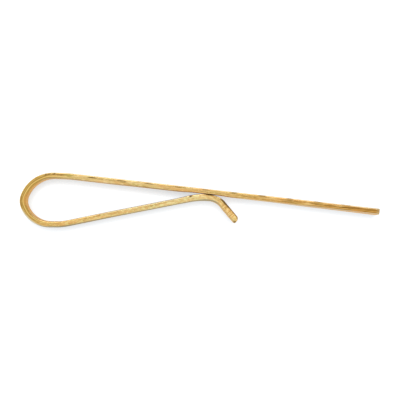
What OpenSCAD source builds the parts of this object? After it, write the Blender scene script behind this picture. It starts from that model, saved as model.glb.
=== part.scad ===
// Tie clip: one springy strip of metal bent back on itself, lying on its long side edge.
// X runs along the front bar towards its free end, and Y towards the face that shows on the tie.
// Z runs across the width of the strip. The origin is under the middle of the clip.
// Bend radii are measured at the middle of the strip's thickness.

/* [Strip] */
// Overall length of the clip, over the bow
clip_len = 50.8; // [44:0.2:64]
// Thickness of the strip
strip_t = 0.88; // [0.6:0.02:1.1]
// Width of the strip
strip_w = 5; // [3.6:0.1:8]
// Radius along the strip's four long edges
edge_r = 0.2; // [0.06:0.01:0.28]

/* [Front half of the bow] */
// Radius of the slight bend where the bar becomes the bow
shoulder_r = 4.4; // [3:0.1:8]
// Slope of the shoulder's flat stretch against the bar, in degrees
shoulder_slope = 4; // [2:0.5:9]
// Length of the shoulder's flat stretch
shoulder_flat = 1.8; // [0.8:0.1:2.8]
// Radius of the upper bend
upper_r = 4.5; // [3.6:0.1:5.6]
// Radius of the tight bend at the crown
crown_r = 2.1; // [1.5:0.1:3]
// Turn of the crown's bend before its outermost point, in degrees
crown_front_turn = 15; // [8:0.5:26]

/* [Back half of the bow] */
// Turn of the crown's bend past its outermost point, in degrees
crown_back_turn = 26.5; // [16:0.5:38]
// Radius of the lower bend
lower_r = 3.9; // [3.2:0.1:5]
// Slope of the flat stretch behind the lower bend, in degrees
lower_slope = 6; // [3:0.5:10]
// Length of that flat stretch
lower_flat = 1; // [0.4:0.1:2]
// Radius of the heel, where the bow becomes the leg
heel_r = 7.4; // [5:0.1:10]

/* [Leg and lip] */
// Slope at which the leg rises to the bar, in degrees
leg_slope = 17.6; // [15:0.2:22]
// Radius of the crest on the leg's side of its highest line
crest_r = 9.8; // [5:0.1:14]
// Radius of the crest on the lip's side of its highest line
brow_r = 3; // [2.4:0.1:6]
// Slope at which the lip falls away from the bar, in degrees
lip_slope = 42.5; // [30:0.5:60]
// Length of the lip's flat stretch
lip_len = 2.9; // [1.4:0.1:4]
// Gap between the crest and the back of the bar when the clip is closed
pinch_gap = 0.02; // [0.01:0.01:0.1]

/* [Ends] */
// Corner radius of the bar's free end, seen from its face
bar_corner_r = 0.45; // [0.2:0.05:1.2]
// Rounding of the bar's free end through its thickness
bar_nose_r = 0.14; // [0.06:0.02:0.28]
// Corner radius of the lip's tip, seen from its face
lip_corner_r = 0.9; // [0.4:0.05:1.3]
// Rounding of the lip's tip through its thickness
lip_nose_r = 0.26; // [0.1:0.02:0.28]

/* [Hidden] */
$fn = 96;
gold = [0.83, 0.69, 0.44];
// How far a trimming block reaches past the strip
overrun = 0.2;
// Neighbouring stretches are joined at one part in so many of their size, where rounding parts none
join_scale = 100;

// A stretch is [straight length, bend radius, turn in degrees], and turns to the left are positive
function straight(length) = [length, 0, 0];
function bend(radius, turn) = [0, radius, turn];

// Heading at the start of stretch i, for a strip that sets off at the heading given
function heading_at(stretches, i, first) =
    i == 0 ? first : heading_at(stretches, i - 1, first) + stretches[i - 1][2];

// Way from one end of a stretch to the other
function way(stretch, heading) =
    stretch[2] == 0
        ? stretch[0] * [cos(heading), sin(heading)]
        : sign(stretch[2]) * stretch[1]
            * [sin(heading + stretch[2]) - sin(heading), cos(heading) - cos(heading + stretch[2])];

// Place where stretch i starts, counted from the start of the strip
function place_at(stretches, i, first) =
    i == 0
        ? [0, 0]
        : place_at(stretches, i - 1, first)
            + way(stretches[i - 1], heading_at(stretches, i - 1, first));

// The bow, from the end of the bar round to the start of the leg
bar_heading = 180;
front_bow = [
    bend(shoulder_r, shoulder_slope),
    straight(shoulder_flat),
    bend(upper_r, 90 - shoulder_slope - crown_front_turn),
    bend(crown_r, crown_front_turn)
];
back_bow = [
    bend(crown_r, crown_back_turn),
    bend(lower_r, 90 - crown_back_turn + lower_slope),
    straight(lower_flat),
    bend(heel_r, leg_slope - lower_slope)
];
bow = concat(front_bow, back_bow);
bow_crown = place_at(bow, len(front_bow), bar_heading);
bow_end = place_at(bow, len(bow), bar_heading);

// The bow's reach beyond the straight bar, and the depth of its lowest line below the bar's middle
bow_reach = strip_t / 2 - bow_crown[0];
lower_start = place_at(bow, len(front_bow) + 1, bar_heading);
bow_depth = lower_r * (1 - sin(crown_back_turn)) - lower_start[1];
clip_h = bow_depth + strip_t;

// The bar makes up the overall length, and the leg is as long as it takes to reach the bar
bar_len = clip_len - bow_reach;
crest_rise = crest_r * (1 - cos(leg_slope));
leg_len = (-bow_end[1] - strip_t - pinch_gap - crest_rise) / sin(leg_slope);

// The whole strip, in the order in which it is bent
strip = concat(
    [straight(bar_len)],
    bow,
    [straight(leg_len), bend(crest_r, -leg_slope), bend(brow_r, -lip_slope), straight(lip_len)]
);
first_bow_front = 1;
first_bow_back = first_bow_front + len(front_bow);
first_leg = first_bow_back + len(back_bow);
first_crest = first_leg + 1;
first_lip = first_crest + 2;
bar_end = [clip_len / 2, (clip_h - strip_t) / 2];

// Cross-section of the strip, with its thickness along X and its width along Y
module section() {
    flat_t = strip_t - 2 * edge_r;
    flat_w = strip_w - 2 * edge_r;
    translate([-flat_t / 2, 0])
        square([flat_t, strip_w]);
    translate([-strip_t / 2, edge_r])
        square([strip_t, flat_w]);
    for (side = [-1, 1], level = [edge_r, strip_w - edge_r])
        translate([side * flat_t / 2, level])
            circle(edge_r);
}

// Sets its children at the start of stretch i, with the strip setting off along X
module at_stretch(i) {
    place = bar_end + place_at(strip, i, bar_heading);
    translate([place[0], place[1], 0])
        rotate(heading_at(strip, i, bar_heading))
            children();
}

// Straight stretch along X
module straight_run(length) {
    rotate([90, 0, 90])
        linear_extrude(length)
            section();
}

// Bent stretch that sets off along X
module bent_run(radius, turn) {
    side = sign(turn);
    translate([0, side * radius, 0])
        rotate(side > 0 ? -90 : 90 + turn)
            rotate_extrude(angle = abs(turn))
                translate([radius, 0])
                    section();
}

// Sets its children where stretch i ends, seen from where it starts, at the scale of the joins
module past_stretch(i) {
    to_centre = [0, sign(strip[i][2]) * strip[i][1], 0] / join_scale;
    translate([strip[i][0] / join_scale, 0, 0] + to_centre)
        rotate(strip[i][2])
            translate(-to_centre)
                children();
}

// Stretches i to last of the strip at the scale of the joins, each set off from the end of the last
module chain(i, last) {
    scale(1 / join_scale) {
        if (strip[i][2] == 0)
            straight_run(strip[i][0]);
        else
            bent_run(strip[i][1], strip[i][2]);
    }
    if (i < last)
        past_stretch(i)
            chain(i + 1, last);
}

// Stretches first to last as one solid, in their place and at their real size
module stretches(first, last) {
    at_stretch(first)
        scale(join_scale)
            chain(first, last);
}

// Outline of a plate whose two corners at X = 0 are round, centred on X
module eased_plate(length, width, corner_r) {
    inner_w = width - 2 * corner_r;
    translate([0, -inner_w / 2])
        square([corner_r, inner_w]);
    translate([corner_r, -width / 2])
        square([length - corner_r, width]);
    for (side = [-1, 1])
        translate([corner_r, side * inner_w / 2])
            circle(corner_r);
}

// Straight stretch along X with a free, rounded end at X = 0
module ended_run(length, corner_r, nose_r) {
    intersection() {
        straight_run(length);
        translate([0, strip_t / 2 + overrun, strip_w / 2])
            rotate([90, 0, 0])
                linear_extrude(strip_t + 2 * overrun)
                    eased_plate(length + overrun, strip_w, corner_r);
        translate([0, 0, -overrun])
            linear_extrude(strip_w + 2 * overrun)
                eased_plate(length + overrun, strip_t, nose_r);
    }
}

// Straight bar across the front of the tie
module front_bar() {
    color(gold)
        at_stretch(0)
            ended_run(bar_len, bar_corner_r, bar_nose_r);
}

// Front half of the spring bow, from the bar to the crown
module bow_front() {
    color(gold)
        stretches(first_bow_front, first_bow_back - 1);
}

// Back half of the spring bow, from the crown to the leg
module bow_back() {
    color(gold)
        stretches(first_bow_back, first_leg - 1);
}

// Straight leg that rises behind the tie to the bar
module spring_leg() {
    color(gold)
        stretches(first_leg, first_leg);
}

// Crest that pinches the cloth against the back of the bar
module grip_bend() {
    color(gold)
        stretches(first_crest, first_lip - 1);
}

// Lip that turns away from the bar, so that the clip slides on over the cloth
module flared_lip() {
    color(gold)
        at_stretch(first_lip + 1)
            rotate(180)
                ended_run(lip_len, lip_corner_r, lip_nose_r);
}

front_bar();
bow_front();
bow_back();
spring_leg();
grip_bend();
flared_lip();
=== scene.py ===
import math
import bpy
from mathutils import Matrix, Vector


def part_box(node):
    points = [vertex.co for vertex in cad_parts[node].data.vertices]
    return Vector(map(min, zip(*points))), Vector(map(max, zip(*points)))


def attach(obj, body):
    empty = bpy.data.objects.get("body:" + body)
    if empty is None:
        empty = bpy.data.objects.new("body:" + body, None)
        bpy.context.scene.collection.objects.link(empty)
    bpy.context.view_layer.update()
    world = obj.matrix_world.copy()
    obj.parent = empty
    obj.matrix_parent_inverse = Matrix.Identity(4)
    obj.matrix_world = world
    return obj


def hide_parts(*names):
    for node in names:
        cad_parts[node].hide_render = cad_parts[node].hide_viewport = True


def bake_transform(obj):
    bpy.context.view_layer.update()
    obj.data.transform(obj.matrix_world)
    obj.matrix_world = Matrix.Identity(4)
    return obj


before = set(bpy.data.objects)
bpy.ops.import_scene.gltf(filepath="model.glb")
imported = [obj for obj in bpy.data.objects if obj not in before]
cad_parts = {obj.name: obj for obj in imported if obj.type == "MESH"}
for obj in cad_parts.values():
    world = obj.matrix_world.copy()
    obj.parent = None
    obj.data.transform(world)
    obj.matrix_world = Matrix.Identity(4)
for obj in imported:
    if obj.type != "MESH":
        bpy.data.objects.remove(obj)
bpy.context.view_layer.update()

mm = 0.001
scene = bpy.context.scene
scene.view_settings.view_transform = "Standard"

# Camera
view = {
    "place": (-3.1, 0.38, 268.0),    # mm, nearly straight above the clip
    "aim": (-0.081, 2.295, 5.0),     # mm, the middle of the picture on the clip's upper edge
    "roll": 6.50,                    # degrees the bar falls to the right
    "lens": 167.6,                   # mm
    "clip": (0.01, 5),               # m, the nearest and the farthest that it shows
}
eye = Vector(view["place"]) * mm
back = (eye - Vector(view["aim"]) * mm).normalized()
roll = math.radians(view["roll"])
# the rolled X axis, laid square to the view
right = Vector((math.cos(roll), math.sin(roll), 0)).cross(back).cross(back).normalized() * -1
up = back.cross(right)
bpy.ops.object.select_all(action="DESELECT")
bpy.ops.object.camera_add(location=eye, rotation=Matrix((right, up, back)).transposed().to_euler())
camera = bpy.context.object
camera.data.lens = view["lens"]
camera.data.clip_start, camera.data.clip_end = view["clip"]
scene.camera = camera
print("camera set")


# Helpers
def selectOnly(obj):
    bpy.ops.object.select_all(action="DESELECT")
    obj.select_set(True)
    bpy.context.view_layer.objects.active = obj


def editWith(obj, kind, test):
    # goes into edit mode with the parts selected whose normal, way or place passes the test
    selectOnly(obj)
    bpy.ops.object.mode_set(mode="EDIT")
    bpy.ops.mesh.select_mode(type=kind)
    bpy.ops.mesh.select_all(action="DESELECT")
    bpy.ops.object.mode_set(mode="OBJECT")
    mesh = obj.data
    if kind == "FACE":
        for face in mesh.polygons:
            face.select = test(face.normal)
    elif kind == "EDGE":
        for edge in mesh.edges:
            a, b = (mesh.vertices[i].co for i in edge.vertices)
            edge.select = test(b - a)
    else:
        for vertex in mesh.vertices:
            vertex.select = test(vertex.co)
    bpy.ops.object.mode_set(mode="EDIT")


def editDone():
    bpy.ops.object.mode_set(mode="OBJECT")


def applyAll(obj):
    selectOnly(obj)
    for name in [modifier.name for modifier in obj.modifiers]:
        bpy.ops.object.modifier_apply(modifier=name)


# The strip, in mm. Its bends are (radius at mid thickness, turn in degrees, flat length after it)
strip = {
    "bowFront": [(4.4, 4, 1.8), (4.5, 71, 0), (2.1, 15, 0)],
    "bowBack": [(2.1, 26.5, 0), (3.9, 69.5, 1.0), (7.4, 11.6, 0)],
    "crest": [(9.8, -17.6, 0), (3.0, -42.5, 0)],
    "legSlope": 17.6,       # degrees
    "lipLength": 2.9,
    "bendSteps": 64,        # that each stretch of the line is bent in
    "edgeRadius": 0.2,
    "edgeSegments": 5,
    "longShare": 0.3,       # a long edge reaches over more than this share of the strip
    "cutsThick": 11,        # over each narrow edge
    "cutsWide": 13,         # over each broad face
    "ringStep": 0.1,        # between the rings along the strip
    "mostCuts": 100,        # that one subdivision makes
    "noseSteps": 7,         # over each rounding of a free end
    "endReach": 0.0001,     # points this near to an open end are part of it
    "smoothAngle": 40,      # degrees
    # hand finishing all over and on the narrow edges: size of the unevenness, its detail and depth
    "waves": ((11.0, 3.0, 3.0), 1, 0.024),
    "fileMarks": ((2.4, 0.11, 0.5), 2, 0.006),
    "narrowShare": 0.6,     # how much of the rounded corners the narrow edges take in
    "leanLength": 15.0,     # near its free end the strip isn't square to the ground,
    "leanDepth": 0.11,      # and its lower edge is this far in
    # place along, and how far the outer and the inner face stray there, + towards the cloth: the bar
    # is a little thin along its middle and dented under the crest, the leg bows a little, the crest
    # lies nearer the bar, and crest and lip are thicker
    "strays": [
        (-1, 0, 0), (10, 0, 0), (16, 0, -0.04), (21, 0, -0.05), (23.2, 0, -0.14), (26.2, 0, -0.14),
        (29, 0, -0.04), (34, 0, -0.03), (38, 0, 0), (60, 0, 0), (68, 0.06, 0.06),
        (76, 0.06, 0.06), (78.6, 0.04, 0.12), (80, 0.06, 0.16), (81.3, 0.09, 0.14),
        (82.4, 0.05, 0.14), (83.8, -0.04, 0.07), (85.4, -0.06, 0.035), (88, -0.06, 0.035),
    ],
    "mostStray": 0.2,       # more than any of these
}
barLow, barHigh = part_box("front_bar")
legLow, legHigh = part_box("spring_leg")
thickness = barHigh.y - barLow.y
width = barHigh.z - barLow.z
slope = math.radians(strip["legSlope"])
legLength = (legHigh.x - legLow.x - thickness * math.sin(slope)) / math.cos(slope)


def asStretches(bends):
    made = []
    for radius, turn, flat in bends:
        made.append((0.0, radius * mm, math.radians(turn)))
        if flat:
            made.append((flat * mm, 0.0, 0.0))
    return made


def lengthOf(stretches):
    return sum(flat + radius * abs(turn) for flat, radius, turn in stretches)


bowStretches = asStretches(strip["bowFront"] + strip["bowBack"])
crestStretches = asStretches(strip["crest"])
sections = [
    [(barHigh.x - barLow.x, 0.0, 0.0)],
    bowStretches,
    [(legLength, 0.0, 0.0)],
    crestStretches,
    [(strip["lipLength"] * mm, 0.0, 0.0)],
]
seams = [0.0]
for section in sections:
    seams.append(seams[-1] + lengthOf(section))
print("strip of", round(seams[-1] / mm, 2), "mm, seams at", [round(s / mm, 2) for s in seams])


def bendingLine():
    # the line that the straight blank is bent to, from the bar's free end to the lip's tip
    place = Vector((barHigh.x, (barLow.y + barHigh.y) / 2, 0))
    heading = math.pi
    points = [[place.copy(), heading, 0.0, 0.0]]
    for flat, radius, turn in (s for section in sections for s in section):
        ahead = Vector((math.cos(heading), math.sin(heading), 0))
        if turn:
            handle = 4 / 3 * math.tan(abs(turn) / 4) * radius    # makes the stretch an arc
            centre = place + Matrix.Rotation(math.copysign(math.pi / 2, turn), 3, "Z") @ ahead * radius
            place = centre + Matrix.Rotation(turn, 3, "Z") @ (place - centre)
        else:
            handle = flat / 3
            place = place + ahead * flat
        points[-1][3] = handle
        heading += turn
        points.append([place.copy(), heading, handle, 0.0])
    points[-1][3] = points[-1][2]
    bpy.ops.curve.primitive_bezier_curve_add()
    line = bpy.context.object
    spline = line.data.splines[0]
    spline.bezier_points.add(len(points) - 2)
    for point, (where, heading, before, after) in zip(spline.bezier_points, points):
        ahead = Vector((math.cos(heading), math.sin(heading), 0))
        point.handle_left_type = point.handle_right_type = "FREE"
        point.co = where
        point.handle_left = where - ahead * before
        point.handle_right = where + ahead * after
    line.data.dimensions = "3D"
    line.data.twist_mode = "Z_UP"
    line.data.resolution_u = strip["bendSteps"]
    line.data.use_path = True
    return line


bpy.ops.object.select_all(action="DESELECT")
line = bendingLine()
print("bending line ends at", [round(x / mm, 4) for x in line.data.splines[0].bezier_points[-1].co])


def unevenness(name):
    # a noise texture, the empty that gives it its size on the straight blank, and its depth
    size, detail, depth = strip[name]
    bpy.ops.object.select_all(action="DESELECT")
    bpy.ops.object.empty_add()
    empty = bpy.context.object
    empty.scale = [s * mm for s in size]
    bpy.context.view_layer.update()
    texture = bpy.data.textures.new(name, "CLOUDS")
    texture.noise_scale = 1.0    # the empty sets the size
    texture.noise_depth = detail
    return texture, empty, depth * mm


waves = unevenness("waves")
fileMarks = unevenness("fileMarks")


# Pieces of the strip
def reaches(axis, full=None):
    # picks what reaches far enough along an axis, for its own length or for the full size given
    return lambda way: abs(way[axis]) > strip["longShare"] * (full or way.length)


def straightBlank(name, low, high):
    # a length of flat strip with eased long edges, open at both ends
    bpy.ops.object.select_all(action="DESELECT")
    bpy.ops.mesh.primitive_cube_add(size=1, location=((low + high) / 2, 0, width / 2))
    piece = bpy.context.object
    piece.name = name
    piece.data.name = name
    piece.scale = (high - low, thickness, width)
    bpy.ops.object.transform_apply(location=True, rotation=True, scale=True)
    editWith(piece, "EDGE", reaches(0))
    bpy.ops.mesh.bevel(offset=strip["edgeRadius"] * mm, segments=strip["edgeSegments"], affect="EDGES")
    editDone()
    editWith(piece, "FACE", reaches(0))
    bpy.ops.mesh.delete(type="FACE")
    editDone()
    editWith(piece, "EDGE", reaches(1, thickness))
    bpy.ops.mesh.subdivide(number_cuts=strip["cutsThick"])
    editDone()
    editWith(piece, "EDGE", reaches(2, width))
    bpy.ops.mesh.subdivide(number_cuts=strip["cutsWide"])
    editDone()
    # the rings are cut in two rounds, because one round can't make enough
    rings = round((high - low) / mm / strip["ringStep"])
    first = max(1, min(strip["mostCuts"], round(math.sqrt(rings))))
    second = max(1, round(rings / first))
    for cuts in (first - 1, second - 1):
        if cuts > 0:
            editWith(piece, "EDGE", reaches(0))
            bpy.ops.mesh.subdivide(number_cuts=cuts)
            editDone()
    return piece


def halfSize(full, radius, depth):
    # half of a full size at a depth in from a rounded end
    if depth >= radius:
        return full / 2
    return full / 2 - radius + math.sqrt(radius ** 2 - (radius - depth) ** 2)


def roundEnd(piece, base, tip, size):
    # extrudes an open end from base to tip, drawing it in as it goes
    corner, innerNose, outerNose = (size[part] * mm for part in ("corner", "innerNose", "outerNose"))
    side = 1 if tip > base else -1
    steps = strip["noseSteps"]
    depths = set()
    for radius in (corner, innerNose, outerNose):
        for i in range(steps + 1):
            depth = radius * (1 - math.cos(math.pi / 2 * i / steps))
            depths.add(round(depth, 9))    # in whole nanometres, so that no two nearly meet
    depths = sorted((d for d in depths if d < abs(tip - base)), reverse=True)
    thick, wide, middle, x = thickness, width, 0.0, base
    editWith(piece, "VERT", lambda co: abs(co.x - base) < strip["endReach"] * mm)
    for depth in depths:
        inner = halfSize(thickness, innerNose, depth)
        outer = halfSize(thickness, outerNose, depth)
        newWide = 2 * halfSize(width, corner, depth)
        newX = tip - side * depth
        bpy.ops.mesh.extrude_region_move(TRANSFORM_OT_translate={"value": (newX - x, 0, 0)})
        bpy.ops.transform.resize(
            value=(1, (inner + outer) / thick, newWide / wide),
            center_override=(newX, middle, width / 2))
        bpy.ops.transform.translate(value=(0, (inner - outer) / 2 - middle, 0))
        thick, wide, middle, x = inner + outer, newWide, (inner - outer) / 2, newX
    bpy.ops.mesh.edge_face_add()
    editDone()


def roughen(piece):
    # hand finishing: slow waves all over, file marks on the narrow edges
    narrow = piece.vertex_groups.new(name="narrowEdges")
    limit = strip["edgeRadius"] * mm * strip["narrowShare"]
    narrow.add([v.index for v in piece.data.vertices
                if v.co.z < limit or v.co.z > width - limit], 1.0, "REPLACE")
    for (texture, empty, depth), group in ((waves, ""), (fileMarks, "narrowEdges")):
        modifier = piece.modifiers.new(texture.name, "DISPLACE")
        modifier.texture = texture
        modifier.texture_coords = "OBJECT"
        modifier.texture_coords_object = empty
        modifier.mid_level = 1.0    # only inwards
        modifier.strength = depth
        modifier.vertex_group = group
    applyAll(piece)
    piece.vertex_groups.clear()


def shiftAt(place):
    # how far across the real strip strays from its drawn line, in mm
    lean = max(0, 1 - place.x / strip["leanLength"]) * (1 - place.z / (width / mm))
    shift = lean * strip["leanDepth"]
    share = max(0, min(1, 0.5 + place.y / (thickness / mm)))    # 0 on the outer face, 1 on the inner
    for (low, *shiftsLow), (high, *shiftsHigh) in zip(strip["strays"], strip["strays"][1:]):
        if low <= place.x < high:
            part = (place.x - low) / (high - low)
            part = part * part * (3 - 2 * part)
            outer, inner = (a + (b - a) * part for a, b in zip(shiftsLow, shiftsHigh))
            return shift + outer + (inner - outer) * share
    return shift


def stray(piece):
    # moves the faces by those shifts, the inward and the outward ones apart, as weights can't be negative
    for side in (1, -1):
        group = piece.vertex_groups.new(name="stray")
        for vertex in piece.data.vertices:
            weight = max(0, side * shiftAt(vertex.co / mm) / strip["mostStray"])
            group.add([vertex.index], weight, "REPLACE")
        modifier = piece.modifiers.new("stray", "DISPLACE")
        modifier.direction = "Y"
        modifier.mid_level = 0.0
        modifier.strength = side * strip["mostStray"] * mm
        modifier.vertex_group = "stray"
        applyAll(piece)
        piece.vertex_groups.clear()


def bend(piece):
    # keeps each point's place on the straight blank for the finish, then bends the blank
    place = piece.data.attributes.new("blankPlace", "FLOAT_VECTOR", "POINT")
    for vertex, item in zip(piece.data.vertices, place.data):
        item.vector = vertex.co / mm
    modifier = piece.modifiers.new("bend", "CURVE")
    modifier.object = line
    modifier.deform_axis = "POS_X"
    applyAll(piece)
    selectOnly(piece)
    bpy.ops.object.mode_set(mode="EDIT")
    bpy.ops.mesh.select_all(action="SELECT")
    bpy.ops.mesh.fill_holes(sides=0)
    bpy.ops.mesh.select_all(action="SELECT")
    bpy.ops.mesh.normals_make_consistent(inside=False)
    editDone()
    bpy.ops.object.shade_smooth_by_angle(angle=math.radians(strip["smoothAngle"]))
    print(piece.name, len(piece.data.polygons), "faces")


# a free end's radii in mm: at its corners, and through the thickness on the inner and the outer side.
# The bar's end is set back a hair, so that it stays inside the CAD model's box
frontBarSize = {"setBack": 0.004, "corner": 0.45, "innerNose": 0.06, "outerNose": 0.12}
base = frontBarSize["corner"] * mm
frontBar = straightBlank("frontBar", base, seams[1])
roughen(frontBar)
roundEnd(frontBar, base, frontBarSize["setBack"] * mm, frontBarSize)
stray(frontBar)
bend(frontBar)
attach(frontBar, "front")
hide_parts("front_bar")

springBow = straightBlank("springBow", seams[1], seams[2])
roughen(springBow)
bend(springBow)
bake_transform(springBow)
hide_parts("bow_front", "bow_back")

springLeg = straightBlank("springLeg", seams[2], seams[3])
roughen(springLeg)
stray(springLeg)
bend(springLeg)
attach(springLeg, "back")
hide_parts("spring_leg")

gripBend = straightBlank("gripBend", seams[3], seams[4])
roughen(gripBend)
stray(gripBend)
bend(gripBend)
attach(gripBend, "back")
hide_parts("grip_bend")

flaredLipSize = {"corner": 0.9, "innerNose": 0.60, "outerNose": 0.16}
base = seams[5] - flaredLipSize["corner"] * mm
flaredLip = straightBlank("flaredLip", seams[4], base)
roughen(flaredLip)
roundEnd(flaredLip, base, seams[5], flaredLipSize)
stray(flaredLip)
bend(flaredLip)
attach(flaredLip, "back")
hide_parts("flared_lip")
pieces = [frontBar, springBow, springLeg, gripBend, flaredLip]
for obj in (line, waves[1], fileMarks[1]):
    bpy.data.objects.remove(obj)
print("strip bent")


# Finish
class Shade:
    # an output socket that can be written into sums
    def __init__(self, tree, socket=None):
        self.tree = tree
        self.socket = socket

    def node(self, kind, settings=None, sockets=None, output=0):
        node = self.tree.nodes.new(kind)
        for name, value in (settings or {}).items():
            setattr(node, name, value)
        for name, value in (sockets or {}).items():
            if isinstance(value, Shade):
                self.tree.links.new(value.socket, node.inputs[name])
            else:
                node.inputs[name].default_value = value
        return Shade(self.tree, node.outputs[output] if node.outputs else None)

    def other(self, output):
        # another output of the same node
        return Shade(self.tree, self.socket.node.outputs[output])

    def maths(self, operation, first, second=0.0):
        return self.node("ShaderNodeMath", {"operation": operation}, {0: first, 1: second})

    def ramp(self, low, high):
        # 0 at low and 1 at high, smooth between them, whichever of the two is greater
        return self.node("ShaderNodeMapRange", {"interpolation_type": "SMOOTHSTEP"},
                         {"Value": self, "From Min": low, "From Max": high})

    def mix(self, first, second, mode="MIX"):
        # from the first colour to the second by this value: a Mix node's colours are its sockets 6 and 7
        return self.node("ShaderNodeMix", {"data_type": "RGBA", "blend_type": mode},
                         {0: self, 6: first, 7: second}, output=2)

    def scaled(self, size, shift):
        # this place divided by a size, and then shifted
        return self.node("ShaderNodeVectorMath", {"operation": "MULTIPLY_ADD"},
                         {0: self, 1: [1 / x for x in size], 2: shift})

    def __add__(self, other):
        return self.maths("ADD", self, other)

    def __sub__(self, other):
        return self.maths("SUBTRACT", self, other)

    def __rsub__(self, other):
        return self.maths("SUBTRACT", other, self)

    def __mul__(self, other):
        return self.maths("MULTIPLY", self, other)

    __radd__ = __add__
    __rmul__ = __mul__


def newTree(name):
    material = bpy.data.materials.new(name)
    material.use_nodes = True
    material.node_tree.nodes.clear()
    return material, Shade(material.node_tree)


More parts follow.
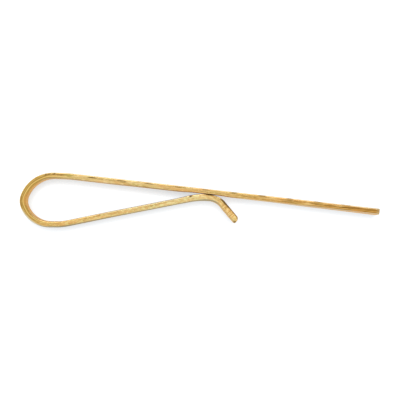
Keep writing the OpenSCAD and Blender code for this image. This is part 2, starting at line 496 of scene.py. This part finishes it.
# Places on the blank are in mm: along it, across it (+ is the cloth's side) and up it
finish = {
    "colours": {
        "gold": (0.68, 0.43, 0.133, 1),
        "lightGold": (0.86, 0.60, 0.24, 1),
        "paleGold": (0.84, 0.66, 0.24, 1),
        "orangeGold": (0.74, 0.38, 0.11, 1),
        "oliveGold": (0.52, 0.40, 0.11, 1),
        "brownGold": (0.32, 0.165, 0.03, 1),
        "faceGold": (0.66, 0.43, 0.135, 1),
        "faceLight": (0.86, 0.61, 0.25, 1),
        # dark brown for marks and the nick, and for painted shade and dark reflection at the crest, lip
        # and tip
        "markAndShadeBrown": (0.14, 0.075, 0.016, 1),
        # paler painted highlight on the rim at the bar's free end and on the heel's outer edge
        "endRimHighlight": (0.75, 0.71, 0.54, 1),
        "rimHighlight": (0.58, 0.53, 0.445, 1),      # painted highlight: the rims that face the lamp drawn pale, besides the lamp's real reflection there
        "legRimHighlight": (0.36, 0.32, 0.235, 1),   # the same painted highlight on the leg, darker there
        "rimShade": (0.60, 0.58, 0.475, 1),      # painted shade: the rims away from the lamp drawn dull and grey
        # the same painted shade on the leg
        "legRimShade": (0.28, 0.265, 0.18, 1),
        "edgeTint": (0.92, 0.60, 0.26, 1),        # what a glancing look at a face gives
    },
    # stretches of the strip: where each starts, is full, is full no longer and ends
    "stretches": {
        "all": (-2, -1, 98, 99),
        "end": (-2, -1, 0, 17),
        "bar": (14, 34, 43, 48),
        "bow": (43, 48.5, 53, 59),
        "leg": (54, 82, 98, 99),
        "onLeg": (53, 60, 98, 99),
        "crest": (79, 80.5, 82, 83.5),
        "onLip": (82.6, 83.4, 85.2, 86),
        "lip": (81.5, 83.5, 98, 99),
        "marked": (-2, -1, 44, 47),
        # where the painted highlight on the rim reaches
        "highlightRim": (-2, -1, 76, 80),
    },
    # tints on the narrow edge, browner towards the bar's free end, paler towards the lip: partly polish,
    # partly painted reflection where the bends meet the light differently
    "tints": {
        "crest": (1.0, 0.92, 0.86, 1),
        "end": (0.90, 0.76, 0.53, 1),
        "bar": (1.05, 1.15, 1.38, 1),
        "bow": (0.95, 0.955, 0.76, 1),
        "leg": (1.08, 1.30, 1.74, 1),
        "lip": (1.08, 1.01, 0.88, 1),
    },
    # grains: size, detail, roughness, place in the noise
    "grains": {
        "streaks": ((3.4, 0.20, 0.30), 2, 0.5, 3.1),
        "fineStreaks": ((1.4, 0.10, 0.16), 2, 0.6, 21.3),
        "mottle": ((0.42, 0.18, 0.24), 2, 0.6, 7.7),
        "hue": ((1.9, 0.40, 0.80), 2, 0.5, 12.4),
        "lines": ((6.0, 0.085, 0.50), 1, 0.5, 33.9),
        "speckle": ((0.5, 0.16, 0.20), 1, 0.5, 45.2),
        "scratches": ((0.14, 0.9, 0.5), 1, 0.5, 57.3),
        "brushed": ((7.0, 0.30, 0.06), 3, 0.6, 71.4),
    },
    # lines drawn along the strip: pitch in mm, how far the hue sways them, start
    "drawn": {"rings": (0.45, 3.0, 2.2), "scores": (0.27, 5.0, 0.0)},
    "narrowEdge": (0.45, 0.22),     # mm in from a side edge where its look ends and is full
    "markEdge": (0.20, 0.08),       # the same for the dark patches on the bar's rim
    # the broad faces are satin, brushed along the strip
    "faceShare": 0.88,
    "faceBrushed": (0.38, 0.62),
    "faceRelief": 0.5,
    # layers: grain, the values where it starts and is full, strength, colour, stretch
    "layers": [
        ("streaks", 0.48, 0.66, 0.6, "lightGold", "all"),
        ("streaks", 0.49, 0.32, 0.6, "brownGold", "all"),
        ("hue", 0.52, 0.66, 0.7, "orangeGold", "all"),
        ("hue", 0.45, 0.30, 0.5, "oliveGold", "all"),
        ("mottle", 0.50, 0.66, 0.6, "lightGold", "all"),
        ("fineStreaks", 0.49, 0.34, 0.45, "brownGold", "all"),
        ("lines", 0.47, 0.56, 0.85, "brownGold", "end"),
        ("lines", 0.48, 0.58, 0.3, "brownGold", "bow"),
        ("lines", 0.48, 0.42, 0.4, "lightGold", "bow"),
        ("rings", 0.50, 0.85, 0.55, "brownGold", "bow"),
        ("rings", 0.50, 0.15, 0.65, "lightGold", "bow"),
        ("scores", 0.50, 0.80, 0.50, "brownGold", "bow"),
        ("scores", 0.50, 0.20, 0.50, "lightGold", "bow"),
        ("scores", 0.50, 0.85, 0.50, "brownGold", "end"),
        ("scores", 0.40, 0.05, 0.40, "lightGold", "end"),
        ("fineStreaks", 0.52, 0.62, 0.6, "orangeGold", "end"),
        ("speckle", 0.53, 0.62, 0.6, "orangeGold", "onLeg"),
        ("speckle", 0.47, 0.38, 0.6, "paleGold", "onLeg"),
        ("hue", 0.30, 0.31, 0.6, "orangeGold", "onLip"),
        ("scratches", 0.55, 0.63, 0.5, "brownGold", "onLip"),
        ("scratches", 0.46, 0.38, 0.65, "lightGold", "onLip"),
    ],
    "sideChange": (48, 55),            # the painted highlight is on the outer rim before this and on the inner one after it, the rims that face the lamp; the painted shade is on the other rim
    "highlightRim": (0.29, 0.42, 0.75),   # painted highlight: mm out from the middle where it starts and is full, strength
    # painted shade on the rim away from the lamp: where it starts and is full, strength
    "shadeRim": (0.27, 0.42, 0.85),
    # the painted highlight and painted shade on the rims are wider in places, in mm, and the painted
    # shade is fainter on the lip
    "legShadeWider": 0.09,
    "crestShadeWider": 0.12,
    "lipLessShade": 0.6,
    "endHighlightWider": 0.05,
    # dark patches along the bar's outer rim: one each so many mm, on a line that slants across. Their
    # edges are in mm off that line, and their ends are values of the wave along it
    "marks": {"pitch": 4.0, "first": 0.85, "across": -0.39, "slant": 0.0055,
              "edge": (0.11, 0.04), "ends": (0.40, 0.95), "ragged": 1.6, "strength": 0.75,
              "endFainter": 0.45},
    "spotEdge": (1.0, 0.5),        # shares of a spot's size at which it ends and is full
    "ragged": (1.2, 0.25),          # how far the grain moves a spot's outline along and across
    # stains, and painted shade, highlight and dark reflection where marked: colour, strength, place and
    # half size
    "stainsAndShading": [
        ("oliveGold", 0.9, (44.3, -0.12, 5.0), (0.9, 0.24, 0.5)),     # shoulder
        ("brownGold", 0.7, (45.4, -0.14, 5.0), (0.8, 0.15, 0.5)),
        ("markAndShadeBrown", 0.8, (46.3, -0.23, 5.0), (0.36, 0.13, 0.4)),
        ("markAndShadeBrown", 0.8, (46.95, -0.24, 5.0), (0.34, 0.13, 0.4)),
        ("markAndShadeBrown", 0.8, (47.5, -0.27, 5.0), (0.32, 0.13, 0.4)),
        ("brownGold", 0.6, (52.4, -0.22, 5.0), (1.4, 0.12, 0.5)),     # crown, outer side: painted dark reflection
        ("endRimHighlight", 0.7, (55.2, -0.42, 4.9), (2.2, 0.24, 0.7)),  # heel, outer edge: painted highlight
        ("orangeGold", 0.5, (52.3, 0.30, 4.9), (1.5, 0.26, 0.9)),     # crown, inner edge
        ("markAndShadeBrown", 1.0, (78.35, 0.40, 4.95), (0.32, 0.15, 0.4)),   # nick on the leg
        ("brownGold", 0.3, (80.8, 0.46, 4.95), (1.8, 0.12, 0.4)),     # crest, under the bar: painted shade in the gap, two spots
        ("markAndShadeBrown", 0.9, (81.1, 0.51, 4.95), (1.1, 0.14, 0.4)),
        ("markAndShadeBrown", 0.9, (83.4, 0.42, 4.95), (1.5, 0.24, 0.4)),     # lip, inner edge: painted dark reflection
        ("oliveGold", 0.3, (84.4, -0.52, 4.95), (2.4, 0.13, 0.4)),    # lip, outer edge
        # painted dark reflection on the lip's inner edge, near the tip
        ("brownGold", 0.9, (85.2, 0.46, 4.9), (1.3, 0.20, 0.5)),
        ("markAndShadeBrown", 0.8, (86.15, -0.38, 4.6), (0.32, 0.34, 0.6)),   # lip, tip: painted shade on its rounded end, two spots
        ("brownGold", 0.8, (86.05, 0.36, 4.5), (0.5, 0.3, 0.7)),
        ("markAndShadeBrown", 0.3, (41.1, -0.16, 5.0), (0.9, 0.12, 0.5)),     # darkest of the dark patches on the bar's rim
        ("rimShade", 0.3, (0.1, 0.0, 4.9), (0.5, 0.7, 0.7)),         # end face: painted shade, two spots
        ("oliveGold", 0.3, (0.1, 0.0, 4.9), (0.5, 0.7, 0.7)),
        ("brownGold", 0.7, (1.1, -0.06, 5.0), (1.5, 0.14, 0.5)),      # scores near the bar's end
        ("markAndShadeBrown", 0.5, (3.4, -0.12, 5.0), (1.0, 0.09, 0.5)),
        ("orangeGold", 0.6, (3.1, 0.29, 5.0), (1.4, 0.13, 0.5)),
        ("markAndShadeBrown", 0.5, (4.8, 0.00, 5.0), (1.3, 0.11, 0.5)),
        ("lightGold", 0.6, (5.9, -0.12, 5.0), (1.0, 0.09, 0.5)),
        ("markAndShadeBrown", 0.4, (7.2, 0.05, 5.0), (1.2, 0.09, 0.5)),
        ("markAndShadeBrown", 0.45, (9.0, -0.02, 5.0), (1.1, 0.12, 0.5)),
        ("lightGold", 0.7, (10.3, 0.08, 5.0), (0.8, 0.16, 0.5)),
        ("markAndShadeBrown", 0.4, (13.0, -0.10, 5.0), (0.8, 0.08, 0.5)),
        ("markAndShadeBrown", 0.35, (13.3, 0.10, 5.0), (1.2, 0.08, 0.5)),
    ],
    "relief": {"streaks": 0.4, "fineStreaks": 0.4, "mottle": 0.2},
    "reliefStrength": 0.28,
    "reliefDepth": 0.00003,         # m
    "roughness": 0.22,              # where the grain is dark
    "roughnessSpread": 0.16,
    "highlightRimSmoother": 0.1,
}


def satinGold():
    material, tree = newTree("satinGold")
    colours = finish["colours"]
    blank = tree.node("ShaderNodeAttribute", {"attribute_name": "blankPlace"}, output=1)    # its vector
    along = tree.node("ShaderNodeSeparateXYZ", {}, {0: blank})
    across = along.other(1)
    middle = width / mm / 2
    inward = middle - tree.maths("ABSOLUTE", along.other(2) - middle)
    onEdge = inward.ramp(*finish["narrowEdge"])
    grains = {}
    for name, (size, detail, roughness, seed) in finish["grains"].items():
        grains[name] = tree.node("ShaderNodeTexNoise", {}, {
            "Vector": blank.scaled(size, [seed] * 3), "Scale": 1.0,
            "Detail": detail, "Roughness": roughness})
    for name, (pitch, sway, start) in finish["drawn"].items():
        lines = across * (2 * math.pi / pitch) + grains["hue"] * sway + start
        grains[name] = tree.maths("SINE", lines) * onEdge * 0.5 + 0.5
    stretches = {}
    for name, (start, full, fading, end) in finish["stretches"].items():
        stretches[name] = along.ramp(start, full) * along.ramp(end, fading)

    colour = colours["gold"]
    for name, low, high, strength, tone, stretch in finish["layers"]:
        colour = (grains[name].ramp(low, high) * stretches[stretch] * strength).mix(colour, colours[tone])
    # tints along the strip, partly polish and partly painted reflection
    for name, tint in finish["tints"].items():
        colour = (stretches[name] * onEdge).mix(colour, tint, "MULTIPLY")
    onFace = 1 - onEdge
    satin = grains["brushed"].ramp(*finish["faceBrushed"]).mix(colours["faceGold"], colours["faceLight"])
    colour = (onFace * finish["faceShare"]).mix(colour, satin)

    # rims: painted highlight on the rim that faces the lamp, painted shade on the other
    onLeg = stretches["onLeg"]
    low, high = finish["sideChange"]
    side = tree.node("ShaderNodeMapRange", {}, {
        "Value": along, "From Min": low, "From Max": high, "To Min": -1.0, "To Max": 1.0})
    low, high, strength = finish["highlightRim"]
    wider = stretches["end"] * finish["endHighlightWider"]
    # painted highlight: the rim that faces the lamp is drawn paler
    highlightRimMask = (across * side + wider).ramp(low, high) * stretches["highlightRim"] * onEdge
    rimHighlightColour = stretches["end"].mix(colours["rimHighlight"], colours["endRimHighlight"])
    colour = (highlightRimMask * strength).mix(colour, onLeg.mix(rimHighlightColour, colours["legRimHighlight"]))
    # painted shade: the rim away from the lamp is drawn dull and grey
    low, high, strength = finish["shadeRim"]
    wider = onLeg * finish["legShadeWider"] + stretches["crest"] * finish["crestShadeWider"]
    fainter = stretches["lip"] * finish["lipLessShade"]
    shadeRimMask = (wider - across * side).ramp(low, high) * onEdge * (1 - fainter)
    colour = (shadeRimMask * strength).mix(colour, onLeg.mix(colours["rimShade"], colours["legRimShade"]))

    # dark patches along the bar's outer rim
    mark = finish["marks"]
    wave = tree.maths("COSINE", (along - mark["first"]) * (2 * math.pi / mark["pitch"]))
    offLine = tree.maths("ABSOLUTE", across - along * mark["slant"] - mark["across"])
    marks = (wave + (grains["streaks"] - 0.5) * mark["ragged"]).ramp(*mark["ends"]) \
        * offLine.ramp(*mark["edge"]) * stretches["marked"] * inward.ramp(*finish["markEdge"]) \
        * (1 - stretches["end"] * mark["endFainter"])
    colour = (marks * mark["strength"]).mix(colour, colours["markAndShadeBrown"])

    # stains, and painted shade, highlight and dark reflection
    moveAlong, moveAcross = finish["ragged"]
    move = tree.node("ShaderNodeCombineXYZ", {}, {
        0: (grains["fineStreaks"] - 0.5) * moveAlong, 1: (grains["mottle"] - 0.5) * moveAcross})
    ragged = tree.node("ShaderNodeVectorMath", {"operation": "ADD"}, {0: blank, 1: move})
    for tone, strength, place, size in finish["stainsAndShading"]:
        offset = ragged.scaled(size, [-a / b for a, b in zip(place, size)])
        reach = tree.node("ShaderNodeVectorMath", {"operation": "LENGTH"}, {0: offset}, output=1)
        colour = (reach.ramp(*finish["spotEdge"]) * strength).mix(colour, colours[tone])

    # relief and shine
    relief = sum(grains[name] * share for name, share in finish["relief"].items()) * onEdge \
        + grains["brushed"] * onFace * finish["faceRelief"]
    normal = tree.node("ShaderNodeBump", {}, {
        "Strength": finish["reliefStrength"], "Distance": finish["reliefDepth"], "Height": relief})
    rough = grains["mottle"] * finish["roughnessSpread"] + finish["roughness"]
    rough = rough - highlightRimMask * finish["highlightRimSmoother"]
    shader = tree.node("ShaderNodeBsdfPrincipled", {}, {
        "Base Color": colour, "Metallic": 1.0, "Roughness": rough, "Normal": normal,
        "Specular Tint": colours["edgeTint"]})
    tree.node("ShaderNodeOutputMaterial", {}, {"Surface": shader})
    return material


gold = satinGold()
for piece in pieces:
    piece.data.materials.clear()
    piece.data.materials.append(gold)
print("finish given")


# Floor and light
studio = {
    "floorSize": 1.2,                      # m
    "floorColour": (0.363, 0.39, 0.438, 1),
    "floorWhite": (0.94, 0.97, 1.0, 1),    # what the camera sees besides, so that the ground is white
    "evenLevel": 0.455,                    # how much of it there is everywhere
    "openLevel": 0.53,                     # how much more where nothing stands close by, so that the glow makes a painted shadow next to the clip
    "mirroredLevel": 0.80,                 # how much the metal's reflections see of it
    "lightSide": (-0.22, 0.78, 0.59),      # the side that the painted shadow's light comes from
    "shadowReach": 1.10,                   # mm
    "shadowSamples": 8,
    "world": 0.72,                         # light from all around, white to the camera and the metal
    # name, direction as the turn from +X and the height in degrees, distance and size in mm, and
    # brightness, where white is 1
    "lamps": [("stripBehind", (96.5, 34), 420, (420, 200), 2.5)],
}


def seenRays(tree):
    # 1 for what the camera, the metal's reflections and clear things see
    path = tree.node("ShaderNodeLightPath")
    return path.other("Is Camera Ray"), tree.maths(
        "MAXIMUM", path.other("Is Glossy Ray"), path.other("Is Transmission Ray"))


def paleFloor():
    bpy.ops.object.select_all(action="DESELECT")
    bpy.ops.mesh.primitive_plane_add(size=studio["floorSize"], location=(0, 0, 0))
    floor = bpy.context.object
    floor.name = "floor"
    material, tree = newTree("paleFloor")
    camera, mirrored = seenRays(tree)
    lightSide = tree.node("ShaderNodeCombineXYZ", {}, dict(enumerate(studio["lightSide"])))
    # the glow fades where the clip stands close on the side of the light: a painted shadow, besides the
    # real one in the diffuse part
    openness = tree.node("ShaderNodeAmbientOcclusion", {"samples": studio["shadowSamples"]}, {
        "Distance": studio["shadowReach"] * mm, "Normal": lightSide}, output=1)
    shadow = tree.node("ShaderNodeBsdfDiffuse", {}, {"Color": studio["floorColour"]})
    level = openness * studio["openLevel"] + studio["evenLevel"]
    strength = camera * level + mirrored * studio["mirroredLevel"]
    glow = tree.node("ShaderNodeEmission", {}, {"Color": studio["floorWhite"], "Strength": strength})
    both = tree.node("ShaderNodeAddShader", {}, {0: shadow, 1: glow})
    tree.node("ShaderNodeOutputMaterial", {}, {"Surface": both})
    floor.data.materials.append(material)


paleFloor()

world = bpy.data.worlds.new("softWhite")
scene.world = world
world.use_nodes = True
world.node_tree.nodes.clear()
tree = Shade(world.node_tree)
strength = tree.maths("MAXIMUM", *seenRays(tree)) * (1 - studio["world"]) + studio["world"]
surround = tree.node("ShaderNodeBackground", {}, {"Color": (1, 1, 1, 1), "Strength": strength})
tree.node("ShaderNodeOutputWorld", {}, {"Surface": surround})

for name, (turn, rise), distance, size, brightness in studio["lamps"]:
    bpy.ops.object.select_all(action="DESELECT")
    swing = Matrix.Rotation(math.radians(turn), 3, "Z") @ Matrix.Rotation(-math.radians(rise), 3, "Y")
    towards = swing @ Vector((1, 0, 0))
    bpy.ops.object.light_add(type="AREA", location=towards * distance * mm,
                             rotation=towards.to_track_quat("Z", "Y").to_euler())
    lamp = bpy.context.object
    lamp.name = name
    lamp.data.shape = "RECTANGLE"
    lamp.data.size, lamp.data.size_y = (x * mm for x in size)
    lamp.data.energy = brightness * math.pi * lamp.data.size * lamp.data.size_y    # watts
print("floor and light set")
